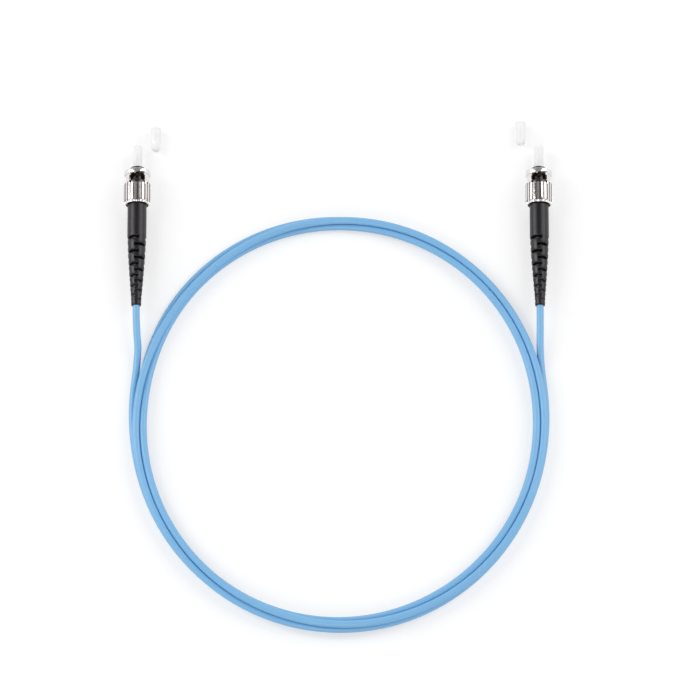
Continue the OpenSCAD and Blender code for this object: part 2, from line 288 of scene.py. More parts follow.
class NodeGroups:
    """Surface effects that several finishes share, each built once."""

    @staticmethod
    def _new(name: str, inputs: dict[str, float], outputs: Sequence[str]) -> bpy.types.NodeTree:
        """Start a group with float sockets."""
        tree = bpy.data.node_groups.new(name, "ShaderNodeTree")
        for key, value in inputs.items():
            socket = tree.interface.new_socket(name=key, in_out="INPUT", socket_type="NodeSocketFloat")
            socket.default_value = value
        for key in outputs:
            tree.interface.new_socket(name=key, in_out="OUTPUT", socket_type="NodeSocketFloat")
        return tree

    @staticmethod
    def moulded_grain() -> bpy.types.NodeTree:
        """Fine and broad noise for moulded and drawn surfaces: Mottle and Height."""
        found = bpy.data.node_groups.get("moulded_grain")
        if found:
            return found
        sizes = {"Grain Size": 4000.0, "Patch Size": 150.0}
        tree = NodeGroups._new("moulded_grain", sizes, ("Mottle", "Height"))
        nodes, links = tree.nodes, tree.links
        source, sink = nodes.new("NodeGroupInput"), nodes.new("NodeGroupOutput")
        coords = nodes.new("ShaderNodeTexCoord")
        fine, broad = nodes.new("ShaderNodeTexNoise"), nodes.new("ShaderNodeTexNoise")
        for noise, key, detail in ((fine, "Grain Size", 3.0), (broad, "Patch Size", 2.0)):
            noise.inputs["Detail"].default_value = detail
            links.new(coords.outputs["Object"], noise.inputs["Vector"])
            links.new(source.outputs[key], noise.inputs["Scale"])
        links.new(broad.outputs["Fac"], sink.inputs["Mottle"])
        links.new(fine.outputs["Fac"], sink.inputs["Height"])
        return tree

    @staticmethod
    def turning_marks() -> bpy.types.NodeTree:
        """Rings left by a lathe round the plug's axis, with scuffs: Lines and Scuffs."""
        found = bpy.data.node_groups.get("turning_marks")
        if found:
            return found
        sizes = {"Rings": 9000.0, "Scuff Size": 900.0}
        tree = NodeGroups._new("turning_marks", sizes, ("Lines", "Scuffs"))
        nodes, links = tree.nodes, tree.links
        source, sink = nodes.new("NodeGroupInput"), nodes.new("NodeGroupOutput")
        coords = nodes.new("ShaderNodeTexCoord")
        split, scaled = nodes.new("ShaderNodeSeparateXYZ"), nodes.new("ShaderNodeMath")
        scaled.operation = "MULTIPLY"
        rings = nodes.new("ShaderNodeTexNoise")
        rings.noise_dimensions = "1D"
        rings.inputs["Scale"].default_value = 1.0
        links.new(coords.outputs["Object"], split.inputs["Vector"])
        links.new(split.outputs["Y"], scaled.inputs[0])
        links.new(source.outputs["Rings"], scaled.inputs[1])
        links.new(scaled.outputs["Value"], rings.inputs["W"])
        scuffs, cut = nodes.new("ShaderNodeTexNoise"), nodes.new("ShaderNodeMapRange")
        scuffs.inputs["Detail"].default_value = 5.0
        cut.inputs["From Min"].default_value, cut.inputs["From Max"].default_value = 0.52, 0.72
        links.new(coords.outputs["Object"], scuffs.inputs["Vector"])
        links.new(source.outputs["Scuff Size"], scuffs.inputs["Scale"])
        links.new(scuffs.outputs["Fac"], cut.inputs["Value"])
        links.new(rings.outputs["Fac"], sink.inputs["Lines"])
        links.new(cut.outputs["Result"], sink.inputs["Scuffs"])
        return tree


@dataclass(frozen=True)
class Finish:
    """A surface: two close colours, roughness, sheen and a little relief."""

    name: str
    colour: Colour
    second: Colour
    roughness: float
    rough_spread: float = 0.06
    metallic: float = 0.0
    specular: float = 0.5
    coat: float = 0.0
    transmission: float = 0.0
    painted_glow: float = 0.0
    relief: float = 0.02
    grain: float = 4000.0
    patches: float = 150.0
    least_roughness: float = 0.02
    coat_roughness: float = 0.25
    bump_strength: float = 0.35

    def group(self) -> tuple[bpy.types.NodeTree, dict[str, float], str, str]:
        """The shared effect, its values, and its outputs for colour and for height."""
        values = {"Grain Size": self.grain, "Patch Size": self.patches}
        return NodeGroups.moulded_grain(), values, "Mottle", "Height"

    def material(self) -> bpy.types.Material:
        """The finished material, made on first use."""
        found = bpy.data.materials.get(f"finish_{self.name}")
        if found:
            return found
        mat = bpy.data.materials.new(f"finish_{self.name}")
        mat.use_nodes = True
        nodes, links = mat.node_tree.nodes, mat.node_tree.links
        shader = nodes["Principled BSDF"]
        tree, values, tint_out, height_out = self.group()
        effect = nodes.new("ShaderNodeGroup")
        effect.node_tree = tree
        for key, value in values.items():
            effect.inputs[key].default_value = value
        tint = nodes.new("ShaderNodeMix")
        tint.data_type = "RGBA"
        tint.inputs["A"].default_value = (*self.colour, 1.0)
        tint.inputs["B"].default_value = (*self.second, 1.0)
        links.new(effect.outputs[tint_out], tint.inputs["Factor"])
        links.new(tint.outputs["Result"], shader.inputs["Base Color"])
        rough = nodes.new("ShaderNodeMapRange")
        rough.inputs["To Min"].default_value = max(
            self.least_roughness, self.roughness - self.rough_spread
        )
        rough.inputs["To Max"].default_value = self.roughness + self.rough_spread
        links.new(effect.outputs[tint_out], rough.inputs["Value"])
        links.new(rough.outputs["Result"], shader.inputs["Roughness"])
        bump = nodes.new("ShaderNodeBump")
        bump.inputs["Strength"].default_value = self.bump_strength
        bump.inputs["Distance"].default_value = self.relief * MM
        links.new(effect.outputs[height_out], bump.inputs["Height"])
        links.new(bump.outputs["Normal"], shader.inputs["Normal"])
        shader.inputs["Metallic"].default_value = self.metallic
        shader.inputs["Specular IOR Level"].default_value = self.specular
        shader.inputs["Coat Weight"].default_value = self.coat
        shader.inputs["Coat Roughness"].default_value = self.coat_roughness
        shader.inputs["Transmission Weight"].default_value = self.transmission
        # Emission here is a painted glow on a surface that is no lamp.
        shader.inputs["Emission Color"].default_value = (1, 1, 1, 1)
        shader.inputs["Emission Strength"].default_value = self.painted_glow
        return mat


@dataclass(frozen=True)
class TurnedMetal(Finish):
    """A metal surface with lathe rings and scuffs."""

    rings: float = 9000.0
    scuffs: float = 900.0

    def group(self) -> tuple[bpy.types.NodeTree, dict[str, float], str, str]:
        """Lathe rings for the height and scuffs for the colour."""
        values = {"Rings": self.rings, "Scuff Size": self.scuffs}
        return NodeGroups.turning_marks(), values, "Scuffs", "Lines"


JACKET = Finish(
    "jacket_light_blue", (0.22, 0.50, 0.80), (0.20, 0.47, 0.77), 0.40, coat=0.08, relief=0.01,
    grain=2500,
)
BOOT = Finish(
    "boot_black", (0.008, 0.006, 0.008), (0.012, 0.009, 0.012), 0.32, specular=0.4, relief=0.004,
    grain=3500,
)
NICKEL = TurnedMetal(
    "nut_nickel", (0.80, 0.77, 0.765), (0.70, 0.67, 0.665), 0.16, metallic=1.0, relief=0.004,
)
# Darker nickel for the floors of the flutes: painted shade, so the grooves read dark against the lands.
GROOVE_PAINTED_SHADE = TurnedMetal(
    "nut_groove_painted_shade", (0.24, 0.215, 0.205), (0.18, 0.16, 0.152), 0.3, metallic=1.0, relief=0.004,
)
# Near-black nickel for the nut's bore: painted shade inside the nut.
BORE_PAINTED_SHADE = TurnedMetal(
    "nut_bore_painted_shade", (0.10, 0.088, 0.084), (0.06, 0.052, 0.05), 0.38, metallic=1.0, relief=0.006,
)
BARREL_SHADE = TurnedMetal(
    "barrel_shaded", (0.085, 0.07, 0.065), (0.05, 0.042, 0.04), 0.3, metallic=1.0,
)
BARREL = TurnedMetal(
    "barrel_nickel", (0.58, 0.55, 0.54), (0.48, 0.45, 0.44), 0.16, metallic=1.0, relief=0.004,
)
# The caps' faint emission is painted light, standing in for light that comes through the milky plastic.
CAP = Finish(
    "cap_plastic", (0.96, 0.96, 0.96), (0.93, 0.93, 0.93), 0.38, transmission=0.3, specular=0.25,
    relief=0.004, painted_glow=0.07,
)
ZIRCONIA = Finish("zirconia", (0.84, 0.82, 0.77), (0.80, 0.78, 0.73), 0.12, coat=0.3, relief=0.002)
BUFFER = Finish("buffered_fibre", (0.78, 0.75, 0.62), (0.73, 0.69, 0.56), 0.4)
SPRING = TurnedMetal("spring_steel", (0.42, 0.42, 0.43), (0.34, 0.34, 0.35), 0.28, metallic=1.0)
WASHER = TurnedMetal("washer_brass", (0.58, 0.42, 0.15), (0.50, 0.35, 0.12), 0.3, metallic=1.0)
CRIMP = TurnedMetal("crimp_nickel", (0.52, 0.51, 0.48), (0.45, 0.44, 0.41), 0.3, metallic=1.0)
YARN = Finish(
    "aramid_yarn", (0.62, 0.47, 0.08), (0.75, 0.60, 0.16), 0.75, relief=0.06, grain=1600,
    patches=900,
)


# ------------------------------------------------------------------------ the cord


@dataclass
class WoundCord:
    """The cord from one boot's mouth to the other, wound three and a half times.

    Each station is (degrees along the winding, place outwards, place upwards). The
    winding starts and ends beside the leads. Places are in cord diameters, outwards from
    the middle line of the turns and upwards from the ground.
    """

    diameter: float = 2.4
    centre: Point2 = (0.3, -73.65)
    half_x: float = 66.7
    half_y: float = 71.0
    step_deg: float = 2.5
    first_deg: float = 160.0
    last_deg: float = 1460.0
    stations: tuple[tuple[float, float, float], ...] = (
        (160, 1.84, 0.60), (165, 1.18, 0.22), (170, 0.71, 0.04), (175, 0.58, 0), (180, 0.62, 0),
        (190, 0.50, 0), (210, 0.50, 0), (260, 0, 0), (310, -0.60, 0), (350, -0.50, 0),
        (370, -0.45, 0), (410, 0, 0), (430, 0.25, 0), (450, 0.48, 0), (470, 0.62, 0),
        (490, 0.72, 0), (515, 0.62, 0), (522, 0.40, 0), (530, -0.30, 0), (540, -0.42, 0),
        (570, -0.50, 0), (620, -0.50, 0.87), (670, -0.62, 1.0), (710, -0.30, 1.0),
        (730, -0.30, 1.0), (770, -0.50, 0.87), (790, -0.55, 0.60), (810, -0.52, 0),
        (830, -0.42, 0), (850, -0.38, 0), (872, -0.38, 0), (882, -0.50, 0.20), (890, -0.85, 0.70),
        (900, -0.60, 1.0), (930, -0.50, 1.0), (980, 0, 1.73), (1030, 0.42, 1.0),
        (1070, 0.55, 1.0), (1090, 0.60, 0.90), (1130, 0.50, 0.87), (1150, 0.20, 1.0),
        (1170, 0.10, 0.87), (1190, -0.05, 0.93), (1210, -0.35, 1.0), (1235, -0.35, 1.0),
        (1250, 0.15, 0.90), (1260, 0.42, 1.0), (1290, 0.50, 1.0), (1340, 0.50, 0.87),
        (1390, 0.45, 0), (1430, 0.66, 0), (1440, 0.75, 0), (1447, 0.68, 0), (1450, 0.68, 0.04),
        (1455, 1.12, 0.22), (1460, 1.86, 0.60),
    )
    drop: tuple[Point2, ...] = (
        (0, 0), (0.06, 0.01), (0.12, 0.03), (0.18, 0.08), (0.24, 0.15), (0.30, 0.235),
        (0.37, 0.33), (0.44, 0.44),
    )

    def places(self) -> tuple[np.ndarray, np.ndarray, np.ndarray]:
        """Degrees, outward places and upward places of the winding, once settled."""
        deg = np.arange(self.first_deg, self.last_deg + 1e-6, self.step_deg)
        table = np.array(self.stations)
        out = np.interp(deg, table[:, 0], table[:, 1])
        up = np.interp(deg, table[:, 0], table[:, 2])
        self.settle(out, up, int(round(360 / self.step_deg)))
        return deg, out, up

    @staticmethod
    def settle(out: np.ndarray, up: np.ndarray, turn: int) -> None:
        """Let the turns lie against each other, in place.

        Args:
            out: outward places, changed here.
            up: upward places, changed here.
            turn: samples in one whole turn.
        """
        n = len(out)
        fixed = np.zeros(n, bool)
        fixed[:3] = fixed[-3:] = True
        for sweep in range(160):
            for gap in (turn, 2 * turn, 3 * turn):
                if gap >= n:
                    continue
                low, high = np.arange(n - gap), np.arange(gap, n)
                d_out, d_up = out[high] - out[low], up[high] - up[low]
                dist = np.maximum(np.hypot(d_out, d_up), 1e-6)
                push = np.maximum(0, 1.0 - dist) * 0.5
                shift_out, shift_up = push * d_out / dist, push * d_up / dist
                out[high] += np.where(fixed[high], 0, shift_out)
                up[high] += np.where(fixed[high], 0, shift_up)
                out[low] -= np.where(fixed[low], 0, shift_out)
                up[low] -= np.where(fixed[low], 0, shift_up)
            np.maximum(up, 0, out=up)
            if sweep < 130:
                for values in (out, up):
                    middle = values[1:-1] + 0.3 * (0.5 * (values[:-2] + values[2:]) - values[1:-1])
                    values[1:-1] = np.where(fixed[1:-1], values[1:-1], middle)
        np.maximum(up, 0, out=up)

    def winding(self) -> np.ndarray:
        """Points of the winding in millimetres."""
        deg, out, up = self.places()
        a = np.radians(deg)
        normal = np.stack((np.cos(a) / self.half_x, np.sin(a) / self.half_y), axis=1)
        normal /= np.linalg.norm(normal, axis=1)[:, None]
        xy = np.stack((self.half_x * np.cos(a), self.half_y * np.sin(a)), axis=1)
        xy = xy + np.array(self.centre) + (out * self.diameter)[:, None] * normal
        return np.column_stack((xy, (0.5 + up) * self.diameter))

    def lead(self, side: Side, meet: np.ndarray) -> np.ndarray:
        """Points from inside a boot's mouth to the winding, in millimetres."""
        mouth = np.array(LAYOUT.boot_mouth(side))
        points = [mouth + (0, 1.5, 0)]
        reach = self.centre[1] + 8.65 - mouth[1]
        ground = self.diameter / 2
        for share, fall in self.drop:
            y = mouth[1] + share * reach
            along = min(1.0, (y - mouth[1]) / (meet[1] - mouth[1]))
            x = mouth[0] + along**2 * (meet[0] - mouth[0])
            points.append(np.array((x, y, mouth[2] + fall * (ground - mouth[2]))))
        return np.array(points)

    def route(self) -> np.ndarray:
        """The whole centre line, from the left boot to the right one, in metres."""
        coil = self.winding()
        left, right = self.lead(Side.LEFT, coil[0]), self.lead(Side.RIGHT, coil[-1])
        points = np.vstack((left, coil, right[::-1]))
        for _ in range(3):
            points[9:-9] = 0.25 * points[8:-10] + 0.5 * points[9:-9] + 0.25 * points[10:-8]
        return points * MM

    def build(self) -> bpy.types.Object:
        points = self.route()
        curve = bpy.data.curves.new("cord_jacket", "CURVE")
        curve.dimensions = "3D"
        curve.bevel_depth = self.diameter / 2 * MM
        curve.bevel_resolution = 5
        curve.use_fill_caps = True
        spline = curve.splines.new("POLY")
        spline.points.add(len(points) - 1)
        spline.points.foreach_set("co", np.column_stack((points, np.ones(len(points)))).ravel())
        spline.use_smooth = True
        curve.materials.append(JACKET.material())
        piece = bpy.data.objects.new("cord_jacket", curve)
        bpy.context.scene.collection.objects.link(piece)
        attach(piece, "cord_set")
        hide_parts("lead_a", "lead_b", "coil")
        return piece


# ------------------------------------------------------------------------- the plug


@dataclass
class CouplingNut:
    """The fluted bayonet nut, bored for a socket."""

    length: float = 12.0
    grip_r: float = 4.5
    grip_length: float = 7.5
    neck_r: float = 3.92
    flange_r: float = 4.45
    flange_length: float = 1.6
    bore_r: float = 3.6
    recess_r: float = 3.75
    recess_length: float = 2.0
    collar_r: float = 2.28
    collar_length: float = 1.0
    flutes: int = 22
    flute_depth: float = 0.44
    flute_half_width: float = 0.36
    flute_turn: float = 2.5
    window_half: float = 2.65
    window_back: float = 6.85
    window_low: float = 10.05
    window_rise: float = 0.85
    notch: float = 0.3
    lug_r: float = 4.15
    lug_half: float = 0.95
    lug_turn: float = 25.0
    cut_low: float = 1.9
    cut_high: float = 7.0
    slot_low: float = 1.5
    sharp_deg: float = 28.0

    def outline(self) -> list[Point2]:
        """The wall's section, with its corners broken."""
        collar_front = self.recess_length + self.collar_length
        return Sweep.rounded([
            (0, self.recess_r, 0.06), (0, 3.98, 0.08), (0.5, 4.34, 0.2), (1.2, self.grip_r, 0.4),
            (2.6, self.grip_r, 0), (4.0, self.grip_r, 0), (5.6, self.grip_r, 0),
            (self.grip_length - 0.3, self.grip_r, 0.15), (self.grip_length, self.grip_r - 0.3, 0.12),
            (self.grip_length, self.neck_r, 0.12), (self.length - self.flange_length, self.neck_r, 0.12),
            (self.length - self.flange_length, self.flange_r, 0.18), (self.length, self.flange_r, 0.3),
            (self.length, self.bore_r, 0.12), (collar_front, self.bore_r, 0.05),
            (collar_front, self.collar_r, 0.05),
            (self.recess_length, self.collar_r, 0.05), (self.recess_length, self.recess_r, 0.1),
        ])

    def angles(self) -> np.ndarray:
        """Columns round the nut, closer together in the flutes."""
        pitch = 2 * math.pi / self.flutes
        shares = np.array((-0.5, -0.36, -0.29, -0.25, -0.2, -0.13, 0.0, 0.13, 0.2, 0.25, 0.29, 0.36))
        base = np.arange(self.flutes) * pitch + math.pi / 2 - math.radians(self.flute_turn)
        return np.sort((base[:, None] + shares[None, :] * pitch).ravel() % (2 * math.pi))

    def radius(self, t: float, r: float, angles: np.ndarray) -> np.ndarray:
        """Cut the flutes into the grip's outer surface."""
        if r < 3.9 or t > self.grip_length + 0.01 or (r <= self.recess_r + 0.01):
            return np.full_like(angles, r)
        pitch = 2 * math.pi / self.flutes
        off = (angles - math.pi / 2 + math.radians(self.flute_turn)) / pitch
        arc = np.abs(off - np.round(off)) * pitch * self.grip_r / self.flute_half_width
        groove = np.where(arc < 1, np.sqrt(np.clip(1 - np.clip(arc, 0, 1) ** 3, 0, 1)), 0)
        return np.minimum(r, self.grip_r - self.flute_depth * groove)

    def cutter(self, turn: float) -> bpy.types.Mesh:
        """One bayonet way as a closed solid: the window, and the lug slot beside it."""
        high = self.window_low + self.window_rise
        window = [
            (-self.window_half, self.window_back), (self.window_half, self.window_back),
            (self.window_half, high),
            (-0.2, self.window_low + self.window_rise / 2), (-0.9, self.window_low),
            (-0.9, self.window_low + self.notch), (-self.window_half, self.window_low + self.notch),
        ]
        slot = [(-self.lug_half, self.window_low + 0.2), (self.lug_half, self.window_low + 0.2),
                (self.lug_half, self.length + 1), (-self.lug_half, self.length + 1)]
        bm = bmesh.new()
        for corners, low, top, lean in (
            (window, self.cut_low, self.cut_high, 0.0), (slot, self.slot_low, self.lug_r, self.lug_turn)
        ):
            loops = [[bm.verts.new((x, t, z)) for x, t in corners] for z in (low, top)]
            count = len(corners)
            bm.faces.new(loops[0])
            bm.faces.new(loops[1][::-1])
            for k in range(count):
                m = (k + 1) % count
                bm.faces.new((loops[0][m], loops[0][k], loops[1][k], loops[1][m]))
            spin = Matrix.Rotation(math.radians(lean + turn), 4, "Y")
            bmesh.ops.transform(bm, matrix=spin, verts=loops[0] + loops[1])
        bmesh.ops.recalc_face_normals(bm, faces=bm.faces)
        mesh = bpy.data.meshes.new("bayonet_cutter")
        bm.to_mesh(mesh)
        bm.free()
        mesh.transform(Matrix.Scale(MM, 4))
        return mesh

    def mesh(self, name: str) -> bpy.types.Mesh:
        """The nut's wall with both bayonet ways cut through it."""
        wall = Sweep.shaped(name, self.outline(), self.angles(), self.radius)
        body = bpy.data.objects.new(name, wall)
        bpy.context.scene.collection.objects.link(body)
        tools = []
        for turn in (0.0, 180.0):
            tool = bpy.data.objects.new("bayonet_cutter", self.cutter(turn))
            bpy.context.scene.collection.objects.link(tool)
            cut = body.modifiers.new("bayonet", "BOOLEAN")
            cut.operation, cut.solver, cut.object = "DIFFERENCE", "EXACT", tool
            cut.use_self = True
            tools.append(tool)
        bpy.context.view_layer.update()
        graph = bpy.context.evaluated_depsgraph_get()
        finished = bpy.data.meshes.new_from_object(body.evaluated_get(graph))
        for spare in (body, *tools):
            bpy.data.objects.remove(spare)
        finished.name = name
        Sweep.tidy(finished, self.sharp_deg)
        return finished

    def build(self, side: Side) -> bpy.types.Object:
        """Place the nut, with darker nickel painted as shade on its bore and on its flutes' floors."""
        mesh = self.mesh(f"bayonet_nut_{side.tag}")
        # Faces inside the bore and on the flutes' floors take the darker nickel: painted shade.
        inside = (self.bore_r + 0.06) * MM
        for face in mesh.polygons:
            middle = face.center
            reach = math.hypot(middle.x, middle.z)
            deep = self.neck_r + 0.05 < reach / MM < self.grip_r - 0.13
            in_painted_groove_shade = deep and 0.7 < middle.y / MM < self.grip_length - 0.2
            face.material_index = 1 if reach < inside else 2 if in_painted_groove_shade else 0
        return place(
            mesh, LAYOUT.plug_origin(side), f"nut_{side.tag}", [f"coupling_nut_{side.tag}"],
            (NICKEL.material(), BORE_PAINTED_SHADE.material(), GROOVE_PAINTED_SHADE.material()),
        )


@dataclass
class Barrel:
    """The turned barrel with its alignment key."""

    front_t: float = 13.4
    front_r: float = 2.35
    seat_t: float = 7.1
    seat_length: float = 1.1
    seat_r: float = 3.35
    stem_r: float = 2.2
    stem_rear_t: float = -2.4
    crimp_r: float = 1.55
    crimp_rear_t: float = -8.6
    ferrule_t: float = 8.2
    ferrule_r: float = 1.252
    fibre_r: float = 0.5
    key_half: float = 0.5
    key_sunk: float = 0.3
    key_edge: float = 0.08
    segments: int = 72
    key_r: float = 3.1
    key_front: float = 10.9
    key_length: float = 1.4
    clip_rear: float = 1.44
    clip_front: float = 1.94
    clip_r: float = 1.9
    sharp_deg: float = 35.0

    def build(self, side: Side) -> bpy.types.Object:
        """Turn the barrel and set its key on top."""
        name = f"barrel_body_{side.tag}"
        seat_front = self.seat_t + self.seat_length
        outline = Sweep.rounded([
            (self.front_t, self.ferrule_r, 0.08), (self.front_t, self.front_r, 0.22),
            (seat_front, self.front_r, 0.08), (seat_front, self.seat_r, 0.12),
            (self.seat_t, self.seat_r, 0.12),
            (self.seat_t, self.stem_r, 0.05), (self.clip_front, self.stem_r, 0.03),
            (self.clip_front, self.clip_r, 0), (self.clip_rear, self.clip_r, 0),
            (self.clip_rear, self.stem_r, 0.03), (self.stem_rear_t, self.stem_r, 0.1),
            (self.stem_rear_t, self.crimp_r, 0.05), (self.crimp_rear_t, self.crimp_r, 0.08),
            (self.crimp_rear_t, self.fibre_r, 0.05), (self.ferrule_t, self.fibre_r, 0.03),
            (self.ferrule_t, self.ferrule_r, 0.03),
        ])
        mesh = Sweep.turned(name, outline, self.segments)
        bm = bmesh.new()
        bm.from_mesh(mesh)
        made = bmesh.ops.create_cube(bm, size=1.0)
        low = self.front_r - self.key_sunk
        size = Vector((2 * self.key_half, self.key_length, self.key_r - low)) * MM
        middle = Vector((0, self.key_front - self.key_length / 2, (self.key_r + low) / 2)) * MM
        bmesh.ops.scale(bm, vec=size, verts=made["verts"])
        bmesh.ops.translate(bm, vec=middle, verts=made["verts"])
        edges = [e for e in bm.edges if e.verts[0] in made["verts"] and e.verts[1] in made["verts"]]
        bmesh.ops.bevel(bm, geom=edges, offset=self.key_edge * MM, segments=2, affect="EDGES")
        bm.to_mesh(mesh)
        bm.free()
        mesh.shade_smooth()
        mesh.set_sharp_from_angle(angle=math.radians(self.sharp_deg))
        for face in mesh.polygons:
            face.material_index = 1 if face.center.y < self.key_front * MM else 0
        return place(
            mesh, LAYOUT.plug_origin(side), "cord_set", [f"barrel_{side.tag}"],
            (BARREL.material(), BARREL_SHADE.material()),
        )


@dataclass
class Boot:
    """The strain relief boot: a smooth sleeve, then ribs between slots."""

    front_t: float = 0.8
    sleeve_r: float = 3.2
    sleeve_end: float = -11.6
    tail_t: float = -35.9
    levels: int = 12
    ratio: float = 0.95
    first: float = -12.2
    last: float = -34.2
    slot_height: float = 0.9
    arc: float = 120.0
    floor_r: float = 1.42
    segments: int = 120
    soft_deg: float = 3.0
    lip: float = 0.26
    lip_steps: tuple[Point2, ...] = ((0.18, 0.025), (0.09, 0.09), (0.03, 0.19), (0.0, 0.32))
    wall_step: float = 0.02
    profile: tuple[Point2, ...] = (
        (-11.6, 3.2), (-12.1, 3.12), (-18.2, 2.88), (-24.2, 2.47), (-29.5, 2.08), (-33.0, 1.78),
        (-35.6, 1.68), (-35.9, 1.6),
    )

    def base_radius(self, t: float) -> float:
        """The ribs' outer radius at a station."""
        table = np.array(self.profile)[::-1]
        return float(np.interp(t, table[:, 0], table[:, 1])) if t < self.sleeve_end else self.sleeve_r

    def level(self, i: int) -> tuple[float, float]:
        """Station and half height of a slotted level, counted from the front."""
        share = (1 - self.ratio**i) / (1 - self.ratio ** (self.levels - 1))
        half = 0.5 * self.slot_height * self.ratio ** (i / 2)
        return self.first + (self.last - self.first) * share, half

    def mask(self, i: int, angles: np.ndarray) -> np.ndarray:
        """1 inside a level's two slots and 0 on the bridges between them."""
        middle = math.radians(135 if i % 2 == 0 else 45)
        off = np.abs((angles - middle + math.pi / 2) % math.pi - math.pi / 2)
        edge, soft = math.radians(self.arc / 2), math.radians(self.soft_deg)
        return np.clip((edge - off) / soft + 0.5, 0, 1)

    def build(self, side: Side) -> bpy.types.Object:
        """Sweep the boot's rings from the front to the tail and back up its bore."""
        angles = np.linspace(0, 2 * math.pi, self.segments, endpoint=False)
        rows: list[np.ndarray] = []

        def ring(t: float, radii: np.ndarray) -> None:
            """Add one ring."""
            along = np.full_like(angles, t)
            rows.append(np.column_stack((radii * np.cos(angles), along, radii * np.sin(angles))))

        def plain(t: float, r: float) -> None:
            """Add one round ring."""
            ring(t, np.full_like(angles, r))

        for t, r in ((0.8, 2.32), (0.8, 2.9), (0.76, 3.08), (0.6, 3.18), (0.3, 3.2), (-3, 3.2),
                     (-7, 3.2), (-11, 3.2)):
            plain(t, r)
        deepest = self.sleeve_r
        for i in range(self.levels):
            centre, half = self.level(i)
            cut = self.mask(i, angles)
            edge = [(half + self.lip, 0.0), *((half + off, depth) for off, depth in self.lip_steps)]
            edge.append((half - self.wall_step, deepest))
            for off, depth in (*edge, *((-off, depth) for off, depth in reversed(edge))):
                t = centre + off
                base = self.base_radius(t)
                ring(t, np.maximum(base - cut * min(depth, base - self.floor_r), self.floor_r))
        for t, r in ((-35.2, 1.69), (-35.6, 1.66), (-35.84, 1.57), (self.tail_t, 1.45),
                     (self.tail_t, 1.3), (-35.8, 1.25),
                     (-14.4, 1.25), (-14.3, 1.7), (-9.8, 1.7), (-8.6, 2.3)):
            plain(t, r)
        mesh = Sweep.grid_mesh(f"relief_boot_{side.tag}", np.array(rows) * MM, closed_rows=True)
        return place(
            mesh, LAYOUT.plug_origin(side), "cord_set", [f"boot_{side.tag}"],
            (BOOT.material(),),
        )


@dataclass
class DustCap:
    """A push-on cap: a lip at its mouth and a round end."""

    length: float = 8.0
    radius: float = 1.625
    lip_r: float = 1.75
    lip_length: float = 0.7
    bore_r: float = 1.27
    bore_length: float = 6.8
    dome: float = 1.2
    mouth_t: float = 13.5
    dome_steps: int = 10
    segments: int = 56

    def mesh(self, name: str, forward: bool) -> bpy.types.Mesh:
        """The cap with its mouth at the origin.

        Args:
            name: the mesh's name.
            forward: True where the round end points along +Y.

        Returns:
            The mesh, in metres.
        """
        flat = self.radius - self.dome
        outline = [(0.0, self.bore_r + 0.06), (0.0, self.lip_r - 0.12), (0.05, self.lip_r - 0.03)]
        outline += [(0.14, self.lip_r), (self.lip_length - 0.1, self.lip_r)]
        outline += [(self.lip_length, self.lip_r - 0.05), (self.lip_length + 0.08, self.radius)]
        for k in range(self.dome_steps + 1):
            a = math.pi / 2 * k / self.dome_steps
            along = self.length - self.dome + self.dome * math.sin(a)
            outline.append((along, flat + self.dome * math.cos(a)))
        outline += [(self.length, 0.0), (self.bore_length, 0.0), (self.bore_length, self.bore_r - 0.15),
                    (self.bore_length - 0.15, self.bore_r), (0.08, self.bore_r)]
        mesh = Sweep.turned(name, outline, self.segments)
        if not forward:
            mesh.transform(Matrix.Rotation(math.pi, 4, "Z"))
        return mesh

    def build(self, side: Side) -> None:
        """Place the cap on the ferrule and the one that lies beside the plug."""
        fitted = self.mesh(f"fitted_cap_{side.tag}", True)
        at = LAYOUT.plug_origin(side) + Vector((0, self.mouth_t * MM, 0))
        place(fitted, at, f"cap_{side.tag}", [f"dust_cap_{side.tag}"], (CAP.material(),))
        x, y = LAYOUT.loose_mouth(side)
        loose = self.mesh(f"spare_cap_{side.tag}", False)
        place(
            loose, Vector((x, y, self.lip_r)) * MM, "cord_set", [f"loose_cap_{side.tag}"],
            (CAP.material(),),
        )


@dataclass
class CouplingSpring:
    """The wire spring behind the barrel's seat."""

    from_t: float = 3.36
    to_t: float = 7.07
    mean_r: float = 2.8
    wire_r: float = 0.225
    turns: float = 3.5
    steps_per_turn: int = 28
    sides: int = 10

    def build(self, side: Side) -> bpy.types.Object:
        """Coil the wire and place it."""
        a = np.linspace(0, 2 * math.pi * self.turns, int(self.steps_per_turn * self.turns))
        t = np.linspace(self.from_t + self.wire_r, self.to_t - self.wire_r, len(a))
        path = np.column_stack((self.mean_r * np.cos(a), t, -self.mean_r * np.sin(a)))
        mesh = Sweep.tube(f"nut_spring_{side.tag}", path, self.wire_r, self.sides)
        piece = place(
            mesh, LAYOUT.plug_origin(side), "cord_set", [f"coupling_spring_{side.tag}"],
            (SPRING.material(),),
        )
        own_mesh(piece)
        return piece


@dataclass
class Plug:
    """One plug, with everything on its axis."""

    nut: CouplingNut = field(default_factory=CouplingNut)
    barrel: Barrel = field(default_factory=Barrel)
    boot: Boot = field(default_factory=Boot)
    cap: DustCap = field(default_factory=DustCap)
    spring: CouplingSpring = field(default_factory=CouplingSpring)

    def build(self, side: Side, nodes: dict[str, bpy.types.Object]) -> None:
        """Build the plug's visible pieces and dress the solids that stay.

        Args:
            side: which end of the cord.
            nodes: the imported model's objects by name.
        """
        self.nut.build(side)
        self.barrel.build(side)
        self.boot.build(side)
        self.cap.build(side)
        self.spring.build(side)
        kept = {"ferrule": ZIRCONIA, "fibre": BUFFER, "slip_washer": WASHER, "retaining_clip": SPRING,
                "crimp_sleeve": CRIMP, "aramid_yarn": YARN, "jacket_end": JACKET}
        for name, finish in kept.items():
            node = nodes[f"{name}_{side.tag}"]
            for material_slot in node.material_slots:
                material_slot.material = finish.material()
        LOG.info("plug %s built", side.tag)


# ---------------------------------------------------------------------- the setting


